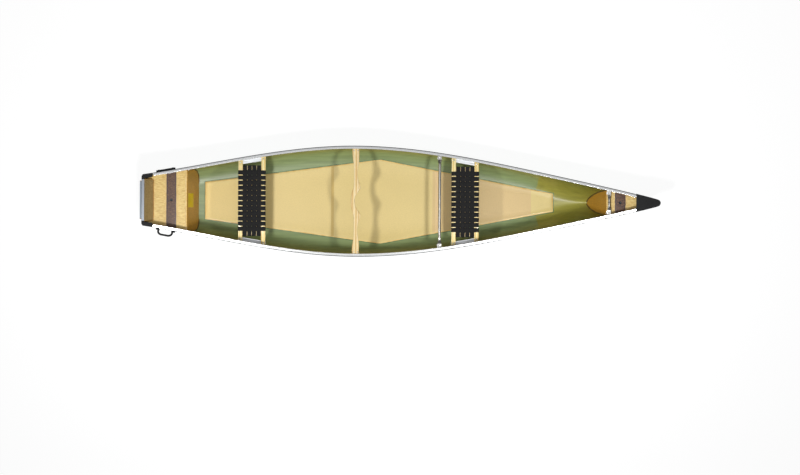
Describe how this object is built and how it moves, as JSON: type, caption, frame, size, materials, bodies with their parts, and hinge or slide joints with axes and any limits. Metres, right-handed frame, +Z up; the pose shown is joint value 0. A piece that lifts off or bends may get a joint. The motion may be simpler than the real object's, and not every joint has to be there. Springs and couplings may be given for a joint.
{
  "type": "square-stern canoe",
  "caption": "Square-stern touring canoe: moulded hull, end flotation tanks, aluminium gunwales, webbing seats, carved yoke, tube thwart, motor pad and swinging stern carry handles.",
  "frame": {"origin": "middle of the overall length, on the centreline, at the lowest face of the hull", "axes": "+X towards the bow, +Y to port, +Z up"},
  "size_m": [4.5723, 0.9756, 0.5129],
  "materials": {
    "hull_laminate": "gel coat outside, resin over cloth inside",
    "floor_laminate": "resin over a foam core",
    "tank_laminate": "resin over cloth",
    "foam": "closed-cell foam",
    "band_laminate": "resin-soaked tape",
    "black_plug": "moulded",
    "label_film": "plain film",
    "knee_laminate": "resin over cloth",
    "anodised_cap": "satin anodised",
    "black_moulding": "fine grain",
    "pad_wood": "varnished",
    "pad_plate": "brushed",
    "gunwale_aluminium": "satin",
    "rivet_aluminium": "bright",
    "ash_wood": "varnished",
    "bracket_aluminium": "mill finish",
    "tube_aluminium": "satin",
    "steel": "stainless",
    "webbing": "woven polyester",
    "handle_rubber": "matt"
  },
  "bodies": {
    "hull": {"blank_label": "label_film", "bow_carry_handle": "tube_aluminium", "bow_deck_plate": "black_moulding", "bow_handle_bolts": "rivet_aluminium", "bow_handle_brackets": "bracket_aluminium", "bow_seat_aft_rail": "ash_wood", "bow_seat_bolts": "steel", "bow_seat_cross_rail_port": "ash_wood", "bow_seat_cross_rail_starboard": "ash_wood", "bow_seat_cross_webbing": "webbing", "bow_seat_fore_rail": "ash_wood", "bow_seat_hanger_port": "bracket_aluminium", "bow_seat_hanger_starboard": "bracket_aluminium", "bow_seat_long_webbing": "webbing", "bow_tank_band": "band_laminate", "bow_tank_cover": "tank_laminate", "bow_tank_foam": "foam", "bow_vent_plug": "black_plug", "deck_plate_rivets": "rivet_aluminium", "floor_core": "floor_laminate", "gunwale_port": "gunwale_aluminium", "gunwale_rivets_port": "rivet_aluminium", "gunwale_rivets_starboard": "rivet_aluminium", "gunwale_starboard": "gunwale_aluminium", "handle_lug_screws": "steel", "handle_lugs_port": "black_moulding", "handle_lugs_starboard": "black_moulding", "hull_shell": "hull_laminate", "motor_pad": "pad_wood", "motor_pad_cap": "pad_plate", "motor_pad_screws": "steel", "stern_seat_aft_rail": "ash_wood", "stern_seat_bolts": "steel", "stern_seat_cross_rail_port": "ash_wood", "stern_seat_cross_rail_starboard": "ash_wood", "stern_seat_cross_webbing": "webbing", "stern_seat_fore_rail": "ash_wood", "stern_seat_hanger_port": "bracket_aluminium", "stern_seat_hanger_starboard": "bracket_aluminium", "stern_seat_long_webbing": "webbing", "stern_tank_band": "band_laminate", "stern_tank_cover": "tank_laminate", "stern_tank_foam": "foam", "stern_vent_plug": "black_plug", "thwart": "tube_aluminium", "thwart_bolts": "rivet_aluminium", "thwart_brackets": "bracket_aluminium", "transom_cap": "anodised_cap", "transom_corner_port": "black_moulding", "transom_corner_starboard": "black_moulding", "transom_knee": "knee_laminate", "yoke": "ash_wood", "yoke_brackets": "bracket_aluminium", "yoke_screws": "steel"},
    "port_handle": {"stern_handle_port": "handle_rubber"},
    "starboard_handle": {"stern_handle_starboard": "handle_rubber"}
  },
  "joints": [
    {"name": "port_handle_swing", "type": "hinge", "parent": "hull", "child": "port_handle", "pos_m": [-2.06042, 0.2663, 0.43966], "axis": [0.9824, 0.1701, -0.0769], "range_deg": [0, 165]},
    {"name": "starboard_handle_swing", "type": "hinge", "parent": "hull", "child": "starboard_handle", "pos_m": [-2.06042, -0.2663, 0.43966], "axis": [-0.9824, 0.1701, 0.0769], "range_deg": [-56, 109]}
  ]
}
